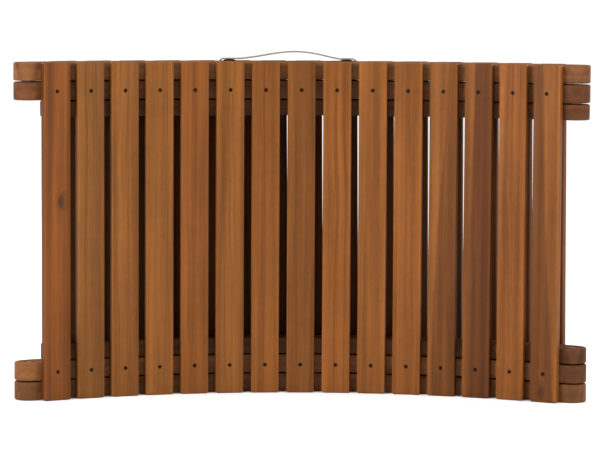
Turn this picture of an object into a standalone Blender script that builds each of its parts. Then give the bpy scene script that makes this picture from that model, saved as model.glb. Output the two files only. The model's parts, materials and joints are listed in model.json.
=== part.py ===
"""A folding slatted wooden lounger, folded up and standing on one long edge.

Three nested pairs of curved rails share one bend radius.  The outer pair carries
the foot panel's slats on the convex side, the middle pair carries the back
panel's slats on the concave side, and the inner pair is the leg frame.  The foot
panel folds about the pivots at the -X end, and the leg frame hangs on the pivots
at the +X end.  A webbing strap on the upper foot rail carries the folded lounger.

Metres, +Z up, +Y towards the convex rear side, origin under the middle of the
whole object.  Every rail bends about one vertical line, the bend axis.  A place
is an angle about that line (from +Y towards +X), a distance from it and a height.
"""

import math

import bmesh
import bpy
from mathutils import Matrix, Vector

OBJECT_NAME = "folding_slatted_lounger"

# Slats
SLAT_LENGTH = 0.555
SLAT_WIDTH = 0.0465
SLAT_THICKNESS = 0.015
SLATS_PER_PANEL = 15
SLAT_PITCH = 0.0593  # between centres, along the slats' concave faces
SLAT_BEVEL = 0.0015
FOOT_SLAT_OFFSET = 0.0125  # along the bend, how far the foot slats sit towards +X
END_MARGIN = 0.0355  # along the bend, from the last back slats' centres to the pivots

# Rails
BEND_RADIUS = 0.891
RAIL_DEPTH = 0.048  # across the bend
PANEL_RAIL_WIDTH = 0.030
RAIL_SPACING = 0.002
RAIL_SEGMENTS = 30
RAIL_END_SEGMENTS = 8

# Leg frame
LEG_RAIL_EASE = 0.0005  # each side, thinner across the bend than the panels' rails
LEG_RAIL_WIDTH = 0.026
LEG_SHORTFALL = 0.047  # along the bend, from the -X pivots to the legs' round ends
CROSSBAR_INSET = 0.040  # along the bend, from the legs' round ends to the crossbar
CROSSBAR_WIDTH = 0.040
CROSSBAR_THICKNESS = 0.020
CROSSBAR_BEVEL = 0.002
CROSSBAR_SCREW_SPREAD = 0.020

# Screws, each as head radius, head height, shank radius and overall length; the
# slats and rails are bored for their screws, which are too many to be parts here
SLAT_SCREW = (0.0030, 0.0020, 0.00175, 0.0310)
CROSSBAR_SCREW = (0.0035, 0.0030, 0.0022, 0.0460)
SCREW_RECESS = 0.0015  # head top below the wood
SCREW_SIDES = 8

# Pivots
BOLT_HEAD_RADIUS = 0.008
BOLT_HEAD_HEIGHT = 0.005
BOLT_RADIUS = 0.004
NUT_RADIUS = 0.0075  # to the corners
NUT_HEIGHT = 0.0065
PIVOT_RECESS = 0.001  # bolt heads and nuts below the wood
WASHER_RADIUS = 0.011
PIVOT_SIDES = 12

# Carrying strap
STRAP_CENTRE = -0.0231  # along the bend, from the middle of the rail
STRAP_SPAN = 0.196  # between its two screws
STRAP_TAIL = 0.0165  # beyond each screw
STRAP_WIDTH = 0.025
STRAP_THICKNESS = 0.002
STRAP_HEIGHT = 0.017  # top of the arch above the rail
STRAP_PEAK = 0.57  # where the arch peaks, as a part of its run
STRAP_ARCH_POWER = 1.3
STRAP_ARCH_POINTS = 20
STRAP_TAIL_POINTS = 4
CUP_RADIUS = 0.0105
CUP_HEIGHT = 0.0025
CUP_SIDES = 16
STRAP_SCREW_HEAD_RADIUS = 0.004
STRAP_SCREW_RADIUS = 0.002
STRAP_SCREW_LENGTH = 0.018

# Fits
SEAT_GAP = 0.0003  # between pieces that touch
HOLE_CLEARANCE = 0.0003  # around a shank, head or nut
HOLE_EXTRA_DEPTH = 0.0006  # past a screw's tip
CUT_OVERRUN = 0.002  # how far a cutter stands out of the wood
MERGE_DISTANCE = 0.00001

# Distances from the bend axis, and angles about it
RAIL_INNER = BEND_RADIUS - RAIL_DEPTH / 2
RAIL_OUTER = BEND_RADIUS + RAIL_DEPTH / 2
BACK_SLAT_STEP = SLAT_PITCH / (RAIL_INNER - SLAT_THICKNESS)
FOOT_SLAT_STEP = SLAT_PITCH / RAIL_OUTER
PIVOT_ANGLE = BACK_SLAT_STEP * (SLATS_PER_PANEL - 1) / 2 + END_MARGIN / BEND_RADIUS
RAIL_STEP = 2 * PIVOT_ANGLE / RAIL_SEGMENTS
RAIL_INNER_FACET = RAIL_INNER * math.cos(RAIL_STEP / 2)
BACK_SLAT_REAR = math.sqrt((RAIL_INNER_FACET - SEAT_GAP) ** 2 - (SLAT_WIDTH / 2) ** 2)
BACK_SLAT_FRONT = BACK_SLAT_REAR - SLAT_THICKNESS
FOOT_SLAT_FRONT = RAIL_OUTER + SEAT_GAP
FOOT_SLAT_REAR = FOOT_SLAT_FRONT + SLAT_THICKNESS
LEG_RAIL_DEPTH = RAIL_DEPTH - 2 * LEG_RAIL_EASE
LEG_END_ANGLE = -PIVOT_ANGLE + LEG_SHORTFALL / BEND_RADIUS
CROSSBAR_ANGLE = LEG_END_ANGLE + CROSSBAR_INSET / BEND_RADIUS
STRAP_ANGLE = STRAP_CENTRE / BEND_RADIUS
STRAP_HALF_ANGLE = math.asin(STRAP_SPAN / 2 / BEND_RADIUS)

# Heights of the rails' faces, measured inwards from the slats' ends
BACK_RAIL_START = PANEL_RAIL_WIDTH + RAIL_SPACING
BACK_RAIL_END = BACK_RAIL_START + PANEL_RAIL_WIDTH
LEG_RAIL_START = BACK_RAIL_END + RAIL_SPACING
LEG_RAIL_END = LEG_RAIL_START + LEG_RAIL_WIDTH
FOOT_SCREW_HEIGHT = PANEL_RAIL_WIDTH / 2
BACK_SCREW_HEIGHT = BACK_RAIL_START + PANEL_RAIL_WIDTH / 2

# Levels above the upper foot rail's top face
CUP_BASE = SEAT_GAP
STRAP_BASE = CUP_BASE + CUP_HEIGHT + SEAT_GAP
STRAP_TOP = STRAP_BASE + STRAP_THICKNESS


def slat_angles(step, middle):
    """The angles of one panel's slats, from -X to +X."""
    return [middle + step * (i - (SLATS_PER_PANEL - 1) / 2) for i in range(SLATS_PER_PANEL)]


BACK_SLAT_ANGLES = slat_angles(BACK_SLAT_STEP, 0)
FOOT_SLAT_ANGLES = slat_angles(FOOT_SLAT_STEP, FOOT_SLAT_OFFSET / BEND_RADIUS)


def bend_axis_y():
    """Put the bend axis where the object's depth is centred on the origin."""
    half_flat = SLAT_WIDTH / 2 - SLAT_BEVEL
    end_angle = BACK_SLAT_ANGLES[-1]
    slat_front = BACK_SLAT_FRONT * math.cos(end_angle) - half_flat * math.sin(end_angle)
    rail_front = BEND_RADIUS * math.cos(PIVOT_ANGLE) - RAIL_DEPTH / 2
    rear = max(
        FOOT_SLAT_REAR * math.cos(angle) + half_flat * math.sin(abs(angle))
        for angle in FOOT_SLAT_ANGLES
    )
    return -(min(slat_front, rail_front) + rear) / 2


BEND_AXIS_Y = bend_axis_y()


def flat_point(angle, distance):
    """A point about the bend axis, in the axis's own horizontal plane."""
    return Vector((distance * math.sin(angle), distance * math.cos(angle), 0))


def place(angle, distance, height):
    """A world matrix with X along the bend, Y away from the bend axis and Z up."""
    point = flat_point(angle, distance) + Vector((0, BEND_AXIS_Y, height))
    return Matrix.Translation(point) @ Matrix.Rotation(-angle, 4, "Z")


def inward(angle, distance, depth, side):
    """A world matrix whose Z runs into the object from its lower or upper long edge."""
    if side == "lower":
        return place(angle, distance, depth)
    return place(angle, distance, SLAT_LENGTH - depth) @ Matrix.Rotation(math.pi, 4, "X")


def mid_height(start, end, side):
    """The world height halfway between two depths from a long edge."""
    middle = (start + end) / 2
    return middle if side == "lower" else SLAT_LENGTH - middle


def clear_scene():
    for item in list(bpy.data.objects):
        bpy.data.objects.remove(item, do_unlink=True)


def new_collection(name, hidden=False):
    collection = bpy.data.collections.new(name)
    bpy.context.scene.collection.children.link(collection)
    collection.hide_render = hidden
    return collection


clear_scene()
PARTS = new_collection(OBJECT_NAME)
CUTTERS = new_collection("cutters", hidden=True)


# ---------------------------------------------------------------- materials

def new_material(name, colour, roughness, metallic=0.0):
    material = bpy.data.materials.new(name)
    material.use_nodes = True
    shader = material.node_tree.nodes["Principled BSDF"]
    shader.inputs["Base Color"].default_value = (*colour, 1.0)
    shader.inputs["Roughness"].default_value = roughness
    shader.inputs["Metallic"].default_value = metallic
    return material


SLAT_WOOD = new_material("slat_wood", (0.42, 0.19, 0.085), 0.55)
RAIL_WOOD = new_material("rail_wood", (0.34, 0.15, 0.07), 0.6)
STEEL = new_material("zinc_steel", (0.42, 0.40, 0.36), 0.35, 1.0)
WEBBING = new_material("strap_webbing", (0.55, 0.47, 0.33), 0.9)
BROWN_PLASTIC = new_material("brown_plastic", (0.06, 0.03, 0.02), 0.5)


# ------------------------------------------------------------ shared builders

def new_object(name, mesh, material=None, matrix=None, parent=None):
    """Place a mesh in the parts collection, on its parent when it has one."""
    item = bpy.data.objects.new(name, mesh)
    PARTS.objects.link(item)
    if material:
        mesh.materials.clear()
        mesh.materials.append(material)
    if parent:
        item.parent = parent
        item.matrix_parent_inverse = parent.matrix_world.inverted()
    item.matrix_basis = matrix or Matrix.Identity(4)
    return item


def evaluated_mesh(item):
    """Turn an object into a clean closed mesh, and remove the object."""
    bpy.context.view_layer.update()
    graph = bpy.context.evaluated_depsgraph_get()
    mesh = bpy.data.meshes.new_from_object(item.evaluated_get(graph))
    bpy.data.objects.remove(item, do_unlink=True)
    work = bmesh.new()
    work.from_mesh(mesh)
    bmesh.ops.remove_doubles(work, verts=work.verts, dist=MERGE_DISTANCE)
    bmesh.ops.recalc_face_normals(work, faces=work.faces)
    work.to_mesh(mesh)
    work.free()
    return mesh


def turned_mesh(profile, sides):
    """Turn a profile of (radius, depth) points about Z."""
    mesh = bpy.data.meshes.new("profile")
    closed = min(radius for radius, _ in profile) > 0
    edges = [(i, i + 1) for i in range(len(profile) - 1)]
    if closed:
        edges.append((len(profile) - 1, 0))
    mesh.from_pydata([(radius, 0, depth) for radius, depth in profile], edges, [])
    item = new_object("profile", mesh)
    turn = item.modifiers.new("turn", "SCREW")
    turn.steps = sides
    turn.render_steps = sides
    turn.use_merge_vertices = True
    turn.merge_threshold = MERGE_DISTANCE
    result = evaluated_mesh(item)
    result.shade_smooth()
    result.set_sharp_from_angle(angle=math.radians(50))
    return result


def plate_mesh(outlines, thickness):
    """Fill flat outlines, the later ones as holes, to a thickness centred on XY."""
    curve = bpy.data.curves.new("outline", "CURVE")
    curve.dimensions = "2D"
    curve.fill_mode = "BOTH"
    curve.extrude = thickness / 2
    for outline in outlines:
        spline = curve.splines.new("POLY")
        spline.points.add(len(outline) - 1)
        for point, target in zip(spline.points, outline):
            point.co = (target[0], target[1], 0, 1)
        spline.use_cyclic_u = True
    item = bpy.data.objects.new("outline", curve)
    PARTS.objects.link(item)
    return evaluated_mesh(item)


def circle(radius, sides):
    turns = [2 * math.pi * i / sides for i in range(sides)]
    return [(radius * math.cos(turn), radius * math.sin(turn)) for turn in turns]


def block_mesh(size, bevel):
    """A box about its own middle with eased edges."""
    mesh = bpy.data.meshes.new("block")
    work = bmesh.new()
    bmesh.ops.create_cube(work, size=1)
    bmesh.ops.scale(work, vec=size, verts=work.verts)
    work.to_mesh(mesh)
    work.free()
    item = new_object("block", mesh)
    ease = item.modifiers.new("ease", "BEVEL")
    ease.width = bevel
    ease.segments = 1
    ease.limit_method = "ANGLE"
    return evaluated_mesh(item)


def grouped_mesh(pieces):
    """Join copies of meshes, given as (mesh, matrix) pairs, as separate bodies."""
    work = bmesh.new()
    for mesh, matrix in pieces:
        copy = mesh.copy()
        copy.transform(matrix)
        work.from_mesh(copy)
        bpy.data.meshes.remove(copy)
    joined = bpy.data.meshes.new("group")
    work.to_mesh(joined)
    work.free()
    return joined


def cut(item, name, pieces):
    """Cut (mesh, world matrix) shapes out of an object."""
    tool = bpy.data.objects.new(name, grouped_mesh(pieces))
    CUTTERS.objects.link(tool)
    tool.hide_render = True
    tool.display_type = "WIRE"
    holes = item.modifiers.new("holes", "BOOLEAN")
    holes.operation = "DIFFERENCE"
    holes.solver = "EXACT"
    holes.object = tool


# ------------------------------------------------------------------- screws

def screw_mesh(screw):
    """A flat-headed screw whose Z runs from its head's top to its tip."""
    head_radius, head_height, radius, length = screw
    profile = [(0, length), (radius, length), (radius, head_height)]
    profile += [(head_radius, head_height), (head_radius, 0), (0, 0)]
    return turned_mesh(profile, SCREW_SIDES)


def screw_hole_mesh(screw):
    """The seat and bore that clear a screw, from above the wood to past its tip."""
    head_radius, head_height, radius, length = screw
    seat = head_radius + HOLE_CLEARANCE
    bore = radius + HOLE_CLEARANCE
    end = length + HOLE_EXTRA_DEPTH
    top = -SCREW_RECESS - CUT_OVERRUN
    seat_end = head_height + HOLE_CLEARANCE
    profile = [(0, end), (bore, end), (bore, seat_end), (seat, seat_end), (seat, top), (0, top)]
    return turned_mesh(profile, SCREW_SIDES)


def slat_screw_places(angles, height, distance, outwards):
    """Where one panel's slat screws start, at both of its rails."""
    turn = Matrix.Rotation(-math.pi / 2 if outwards else math.pi / 2, 4, "X")
    heights = (height, SLAT_LENGTH - height)
    return [place(angle, distance, z) @ turn for angle in angles for z in heights]


BACK_SCREW_PLACES = slat_screw_places(
    BACK_SLAT_ANGLES, BACK_SCREW_HEIGHT, BACK_SLAT_FRONT + SCREW_RECESS, True
)
FOOT_SCREW_PLACES = slat_screw_places(
    FOOT_SLAT_ANGLES, FOOT_SCREW_HEIGHT, FOOT_SLAT_REAR - SCREW_RECESS, False
)


def crossbar_screw_places():
    places = []
    for side in ("lower", "upper"):
        for sign in (-1, 1):
            middle = inward(CROSSBAR_ANGLE, BEND_RADIUS, LEG_RAIL_START + SCREW_RECESS, side)
            places.append(middle @ Matrix.Translation((sign * CROSSBAR_SCREW_SPREAD / 2, 0, 0)))
    return places


CROSSBAR_SCREW_PLACES = crossbar_screw_places()


def build_crossbar_screws():
    mesh = screw_mesh(CROSSBAR_SCREW)
    for number, spot in enumerate(CROSSBAR_SCREW_PLACES, start=1):
        new_object(f"crossbar_screw_{number}", mesh, STEEL, spot)


# ------------------------------------------------------------------- pivots

def bore_radius(radius, sides):
    """The radius of a faceted bore that clears a faceted pin at every turn."""
    return (radius + HOLE_CLEARANCE) / math.cos(math.pi / sides)


def bolt_mesh(grip):
    """A bolt whose head starts at its Z origin and whose shank spans the grip."""
    tip = BOLT_HEAD_HEIGHT + grip
    profile = [(0, tip), (BOLT_RADIUS, tip), (BOLT_RADIUS, BOLT_HEAD_HEIGHT)]
    profile += [(BOLT_HEAD_RADIUS, BOLT_HEAD_HEIGHT), (BOLT_HEAD_RADIUS, 0), (0, 0)]
    return turned_mesh(profile, PIVOT_SIDES)


def pivot_hole_mesh(width, wide_radius, wide_depth):
    """A bore through a rail with a recess at its start, for a head or a nut."""
    bore = bore_radius(BOLT_RADIUS, PIVOT_SIDES)
    end = width + CUT_OVERRUN
    profile = [(0, end), (bore, end)]
    if wide_depth:
        wide = bore_radius(wide_radius, PIVOT_SIDES)
        profile += [(bore, wide_depth), (wide, wide_depth), (wide, -CUT_OVERRUN)]
    else:
        profile += [(bore, -CUT_OVERRUN)]
    profile += [(0, -CUT_OVERRUN)]
    return turned_mesh(profile, PIVOT_SIDES)


HEAD_RECESS = PIVOT_RECESS + BOLT_HEAD_HEIGHT + HOLE_CLEARANCE
NUT_RECESS = PIVOT_RECESS + NUT_HEIGHT + HOLE_CLEARANCE
TURN_OVER = Matrix.Rotation(math.pi, 4, "X")


def ring_mesh(outline, thickness):
    """A nut or a washer that clears a bolt's shank."""
    bore = circle(bore_radius(BOLT_RADIUS, PIVOT_SIDES), PIVOT_SIDES)
    return plate_mesh([outline, bore], thickness)


def build_pivot(end, angle, start, seam, stop):
    """One end's bolts, nuts and washers; the seam is where its two rails meet."""
    bolt = bolt_mesh(stop - start - 2 * PIVOT_RECESS - BOLT_HEAD_HEIGHT)
    nut = ring_mesh(circle(NUT_RADIUS, 6), NUT_HEIGHT)
    washer = ring_mesh(circle(WASHER_RADIUS, PIVOT_SIDES), RAIL_SPACING - 2 * SEAT_GAP)
    pieces = (
        ("bolt", bolt, start + PIVOT_RECESS),
        ("nut", nut, stop - PIVOT_RECESS - NUT_HEIGHT / 2),
        ("washer", washer, seam + RAIL_SPACING / 2),
    )
    for kind, mesh, depth in pieces:
        for side in ("lower", "upper"):
            matrix = inward(angle, BEND_RADIUS, depth, side)
            new_object(f"{end}_pivot_{kind}_{side}", mesh, STEEL, matrix)


# -------------------------------------------------------------------- rails

def rail_outline(start, end, depth):
    """An arc with round ends: out along its far side and back along its near side."""
    steps = max(2, round((end - start) / RAIL_STEP))
    angles = [start + (end - start) * i / steps for i in range(steps + 1)]
    outline = [flat_point(angle, BEND_RADIUS + depth / 2) for angle in angles]
    outline += rail_end(end, depth, 0)
    outline += [flat_point(angle, BEND_RADIUS - depth / 2) for angle in reversed(angles)]
    outline += rail_end(start, depth, math.pi)
    return outline


def rail_end(angle, depth, turn):
    """The points of a round end, between its two corners and clockwise from above."""
    centre = flat_point(angle, BEND_RADIUS)
    points = []
    for i in range(1, RAIL_END_SEGMENTS):
        heading = angle + turn + math.pi * i / RAIL_END_SEGMENTS
        points.append(centre + flat_point(heading, depth / 2))
    return points


def build_rail(name, outline, width, start, side, holes, parent=None):
    """One curved rail, with its holes cut through it."""
    height = mid_height(start, start + width, side)
    matrix = Matrix.Translation((0, BEND_AXIS_Y, height))
    rail = new_object(name, plate_mesh([outline], width), RAIL_WOOD, matrix, parent)
    cut(rail, f"{name}_holes", holes)


def slat_screw_holes(places, side):
    """The slat screws' holes at one side; the places alternate lower and upper."""
    mesh = screw_hole_mesh(SLAT_SCREW)
    first = 0 if side == "lower" else 1
    return [(mesh, spot) for spot in places[first::2]]


def build_foot_rail(side, parent):
    head = pivot_hole_mesh(PANEL_RAIL_WIDTH, BOLT_HEAD_RADIUS, HEAD_RECESS)
    holes = slat_screw_holes(FOOT_SCREW_PLACES, side)
    holes.append((head, inward(-PIVOT_ANGLE, BEND_RADIUS, 0, side)))
    if side == "upper":
        holes += strap_screw_holes()
    outline = rail_outline(-PIVOT_ANGLE, PIVOT_ANGLE, RAIL_DEPTH)
    build_rail(f"foot_rail_{side}", outline, PANEL_RAIL_WIDTH, 0, side, holes, parent)


def build_back_rail(side):
    head = pivot_hole_mesh(PANEL_RAIL_WIDTH, BOLT_HEAD_RADIUS, HEAD_RECESS)
    nut = pivot_hole_mesh(PANEL_RAIL_WIDTH, NUT_RADIUS, NUT_RECESS)
    holes = slat_screw_holes(BACK_SCREW_PLACES, side)
    holes.append((nut, inward(-PIVOT_ANGLE, BEND_RADIUS, BACK_RAIL_END, side) @ TURN_OVER))
    holes.append((head, inward(PIVOT_ANGLE, BEND_RADIUS, BACK_RAIL_START, side)))
    outline = rail_outline(-PIVOT_ANGLE, PIVOT_ANGLE, RAIL_DEPTH)
    build_rail(f"back_rail_{side}", outline, PANEL_RAIL_WIDTH, BACK_RAIL_START, side, holes)


def build_leg_rail(side):
    nut = pivot_hole_mesh(LEG_RAIL_WIDTH, NUT_RADIUS, NUT_RECESS)
    screw = screw_hole_mesh(CROSSBAR_SCREW)
    first = 0 if side == "lower" else 2
    holes = [(screw, spot) for spot in CROSSBAR_SCREW_PLACES[first:first + 2]]
    holes.append((nut, inward(PIVOT_ANGLE, BEND_RADIUS, LEG_RAIL_END, side) @ TURN_OVER))
    outline = rail_outline(LEG_END_ANGLE, PIVOT_ANGLE, LEG_RAIL_DEPTH)
    build_rail(f"leg_rail_{side}", outline, LEG_RAIL_WIDTH, LEG_RAIL_START, side, holes)


def build_crossbar():
    """The bar that ties the two legs together near their free ends."""
    length = SLAT_LENGTH - 2 * (LEG_RAIL_END + SEAT_GAP)
    mesh = block_mesh((CROSSBAR_WIDTH, CROSSBAR_THICKNESS, length), CROSSBAR_BEVEL)
    bar = new_object("leg_crossbar", mesh, RAIL_WOOD, place(CROSSBAR_ANGLE, BEND_RADIUS, SLAT_LENGTH / 2))
    screw = screw_hole_mesh(CROSSBAR_SCREW)
    cut(bar, "leg_crossbar_holes", [(screw, spot) for spot in CROSSBAR_SCREW_PLACES])


# -------------------------------------------------------------------- slats

def slat_mesh(height, outwards):
    """One slat about its own middle, with its two screw holes from the show face."""
    mesh = block_mesh((SLAT_WIDTH, SLAT_THICKNESS, SLAT_LENGTH), SLAT_BEVEL)
    slat = new_object("slat", mesh)
    turn = Matrix.Rotation(-math.pi / 2 if outwards else math.pi / 2, 4, "X")
    start = (-1 if outwards else 1) * (SLAT_THICKNESS / 2 - SCREW_RECESS)
    hole = screw_hole_mesh(SLAT_SCREW)
    pieces = []
    for z in (height - SLAT_LENGTH / 2, SLAT_LENGTH / 2 - height):
        pieces.append((hole, Matrix.Translation((0, start, z)) @ turn))
    cut(slat, "slat_holes_back" if outwards else "slat_holes_foot", pieces)
    return evaluated_mesh(slat)


def build_slats(panel, angles, front, mesh, parent=None):
    for number, angle in enumerate(angles, start=1):
        matrix = place(angle, front + SLAT_THICKNESS / 2, SLAT_LENGTH / 2)
        new_object(f"{panel}_slat_{number:02d}", mesh, SLAT_WOOD, matrix, parent)


# -------------------------------------------------------------------- strap

def strap_place():
    """A world matrix with X from screw to screw, Y up off the rail and Z forwards."""
    low = flat_point(STRAP_ANGLE - STRAP_HALF_ANGLE, BEND_RADIUS)
    high = flat_point(STRAP_ANGLE + STRAP_HALF_ANGLE, BEND_RADIUS)
    middle = (low + high) / 2 + Vector((0, BEND_AXIS_Y, SLAT_LENGTH))
    turn = Matrix.Rotation(-STRAP_ANGLE, 4, "Z") @ Matrix.Rotation(math.pi / 2, 4, "X")
    return Matrix.Translation(middle) @ turn


def strap_screw_places():
    """Where the strap's screws start, with Z down into the rail."""
    down = Matrix.Rotation(math.pi / 2, 4, "X")
    spots = []
    for sign in (-1, 1):
        spot = Matrix.Translation((sign * STRAP_SPAN / 2, STRAP_TOP, 0))
        spots.append(strap_place() @ spot @ down)
    return spots


def strap_line():
    """The strap's centre line from end to end, as (along, up) points."""
    flat = STRAP_BASE + STRAP_THICKNESS / 2
    tip = SEAT_GAP + STRAP_THICKNESS / 2
    rise = STRAP_HEIGHT - STRAP_THICKNESS / 2 - flat
    seat = CUP_RADIUS + SEAT_GAP
    half = STRAP_SPAN / 2
    tail = []
    for i in range(STRAP_TAIL_POINTS + 1):
        part = i / STRAP_TAIL_POINTS
        along = half + STRAP_TAIL - (STRAP_TAIL - seat) * part
        tail.append((along, tip + (flat - tip) * math.sin(part * math.pi / 2) ** 2))
    left = [(-along, up) for along, up in tail]
    warp = math.log(0.5) / math.log(STRAP_PEAK)
    run = STRAP_SPAN - 2 * seat
    arch = []
    for i in range(STRAP_ARCH_POINTS + 1):
        part = i / STRAP_ARCH_POINTS
        up = flat + rise * math.sin(math.pi * part ** warp) ** STRAP_ARCH_POWER
        arch.append((seat - half + run * part, up))
    return left + arch + tail[::-1]


def strap_outline():
    """Both faces of the strap, half its thickness to each side of the centre line."""
    line = [Vector(point) for point in strap_line()]
    upper = []
    lower = []
    for i, point in enumerate(line):
        heading = line[min(i + 1, len(line) - 1)] - line[max(i - 1, 0)]
        normal = Vector((-heading.y, heading.x)).normalized()
        upper.append(point + normal * STRAP_THICKNESS / 2)
        lower.append(point - normal * STRAP_THICKNESS / 2)
    return upper + lower[::-1]


def strap_screw_mesh():
    """A countersunk screw whose head fills the strap's thickness."""
    radius = STRAP_SCREW_RADIUS
    profile = [(0, STRAP_SCREW_LENGTH), (radius, STRAP_SCREW_LENGTH), (radius, STRAP_THICKNESS)]
    profile += [(STRAP_SCREW_HEAD_RADIUS, 0), (0, 0)]
    return turned_mesh(profile, SCREW_SIDES)


def strap_screw_hole_mesh():
    """The bore and countersink that clear a strap screw."""
    bore = STRAP_SCREW_RADIUS + HOLE_CLEARANCE
    seat = STRAP_SCREW_HEAD_RADIUS + HOLE_CLEARANCE
    end = STRAP_SCREW_LENGTH + HOLE_EXTRA_DEPTH
    profile = [(0, end), (bore, end), (bore, STRAP_THICKNESS)]
    profile += [(seat, 0), (seat, -CUT_OVERRUN), (0, -CUT_OVERRUN)]
    return turned_mesh(profile, SCREW_SIDES)


def strap_screw_holes():
    mesh = strap_screw_hole_mesh()
    return [(mesh, spot) for spot in strap_screw_places()]


def cup_mesh():
    """A low domed washer between the strap and the rail, its Z running down."""
    bore = STRAP_SCREW_RADIUS + HOLE_CLEARANCE
    base = STRAP_TOP - CUP_BASE
    profile = [(bore, base), (CUP_RADIUS, base)]
    profile += [(0.9 * CUP_RADIUS, base - 0.5 * CUP_HEIGHT), (0.6 * CUP_RADIUS, base - 0.9 * CUP_HEIGHT)]
    profile += [(0.4 * CUP_RADIUS, base - CUP_HEIGHT), (bore, base - CUP_HEIGHT)]
    return turned_mesh(profile, CUP_SIDES)


def build_strap(parent):
    mesh = plate_mesh([strap_outline()], STRAP_WIDTH)
    strap = new_object("carry_strap", mesh, WEBBING, strap_place(), parent)
    cut(strap, "carry_strap_holes", strap_screw_holes())
    cup = cup_mesh()
    screw = strap_screw_mesh()
    for number, spot in enumerate(strap_screw_places(), start=1):
        new_object(f"strap_cup_{number}", cup, BROWN_PLASTIC, spot, parent)
        new_object(f"strap_screw_{number}", screw, STEEL, spot, parent)


# ----------------------------------------------------------------- assembly

def build_back_panel():
    build_slats("back", BACK_SLAT_ANGLES, BACK_SLAT_FRONT, slat_mesh(BACK_SCREW_HEIGHT, True))
    for side in ("lower", "upper"):
        build_back_rail(side)


def build_leg_frame():
    for side in ("lower", "upper"):
        build_leg_rail(side)
    build_crossbar()
    build_crossbar_screws()


def build_pivots():
    build_pivot("fold", -PIVOT_ANGLE, 0, PANEL_RAIL_WIDTH, BACK_RAIL_END)
    build_pivot("leg", PIVOT_ANGLE, BACK_RAIL_START, BACK_RAIL_END, LEG_RAIL_END)


def build_foot_panel():
    """The panel that folds about the -X pivots; its empty stands on their axis."""
    axis = bpy.data.objects.new("foot_fold_axis", None)
    PARTS.objects.link(axis)
    axis.matrix_basis = place(-PIVOT_ANGLE, BEND_RADIUS, 0)
    bpy.context.view_layer.update()
    build_slats("foot", FOOT_SLAT_ANGLES, FOOT_SLAT_FRONT, slat_mesh(FOOT_SCREW_HEIGHT, False), axis)
    for side in ("lower", "upper"):
        build_foot_rail(side, axis)
    build_strap(axis)


build_back_panel()
build_leg_frame()
build_pivots()
build_foot_panel()
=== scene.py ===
"""Looks of a folding slatted wooden lounger, folded up and standing on its long edge."""

import json
import math
import random

import bmesh
import bpy
from mathutils import Matrix, Vector


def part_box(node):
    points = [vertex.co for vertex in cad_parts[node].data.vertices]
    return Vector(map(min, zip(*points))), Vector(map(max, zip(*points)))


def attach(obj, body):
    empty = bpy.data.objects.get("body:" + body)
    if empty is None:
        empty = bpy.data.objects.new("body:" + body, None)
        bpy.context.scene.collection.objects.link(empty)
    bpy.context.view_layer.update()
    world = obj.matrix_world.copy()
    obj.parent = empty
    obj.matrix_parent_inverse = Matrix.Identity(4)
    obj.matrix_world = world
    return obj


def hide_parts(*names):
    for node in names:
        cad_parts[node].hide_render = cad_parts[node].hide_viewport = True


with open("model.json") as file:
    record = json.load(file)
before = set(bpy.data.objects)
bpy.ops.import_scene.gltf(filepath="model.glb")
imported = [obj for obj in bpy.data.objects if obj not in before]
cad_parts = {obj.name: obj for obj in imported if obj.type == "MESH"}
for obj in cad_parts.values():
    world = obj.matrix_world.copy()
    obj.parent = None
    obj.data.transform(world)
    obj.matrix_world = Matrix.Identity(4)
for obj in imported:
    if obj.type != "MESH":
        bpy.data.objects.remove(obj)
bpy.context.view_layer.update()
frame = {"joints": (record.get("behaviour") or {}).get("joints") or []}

# The camera looks from far off along a gentle downward line
CAMERA_AZIMUTH = math.radians(0.459)
CAMERA_ELEVATION = math.radians(5.202)
CAMERA_ROLL = math.radians(0.321)
CAMERA_DISTANCE = 4.7556
CAMERA_TARGET = Vector((-0.0017, 0, 0.2797))
CAMERA_LENS = 171.21

# Sizes in metres, as in the solids where the solids have them
BEND_RADIUS = 0.891
SLAT_SIZE = Vector((0.0465, 0.015, 0.555))
SLAT_CORNER = 0.0035
SLAT_EASE = 0.0022
RAIL_EASE = 0.0025
PANEL_RAIL_DEPTH = 0.048
LEG_RAIL_DEPTH = 0.047
LEG_SHORTFALL = 0.047
CROSSBAR_WIDTH = 0.040
CROSSBAR_THICKNESS = 0.020
CROSSBAR_CORNER = 0.003
CROSSBAR_EASE = 0.0006
SCREW_RECESS = 0.0015
SCREW_HEAD_RADIUS = 0.003
SCREW_HEAD_HEIGHT = 0.002
SLAT_SCREW_LENGTH = 0.031
SLAT_SCREW_RADIUS = 0.00175
SCREW_PITCH = 0.0016
HOLE_CLEARANCE = 0.0003
BOLT_RADIUS = 0.004
PIVOT_RECESS = 0.001
BOLT_HEAD_RADIUS = 0.008
BOLT_HEAD_HEIGHT = 0.005
BOLT_PITCH = 0.00125
BOLT_THREAD = 0.016
NUT_RADIUS = 0.0075
NUT_HEIGHT = 0.0065
WASHER_RADIUS = 0.011

# The photographed foot panel is racked a little out of square, and two slats sit aside
FOOT_SLAT_LEAN = math.radians(0.55)
LEAN_HEIGHT = 0.10
FOOT_SLAT_SHIFTS = {10: 0.0018, 13: 0.0012}

SIDES = ("lower", "upper")
CUT_OVERRUN = 0.002
MERGE_DISTANCE = 0.00001
SMOOTH_ANGLE = 35

fold_pivot = frame["joints"][0]["pos_m"]
BEND_AXIS_Y = fold_pivot[1] - math.sqrt(BEND_RADIUS ** 2 - fold_pivot[0] ** 2)
PIVOT_ANGLE = math.asin(-fold_pivot[0] / BEND_RADIUS)
SLAT_LENGTH = SLAT_SIZE.z


# ------------------------------------------------------------------ places

def flat_point(angle, distance):
    """A point about the bend axis, in the axis's own horizontal plane."""
    return Vector((distance * math.sin(angle), distance * math.cos(angle), 0))


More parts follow.
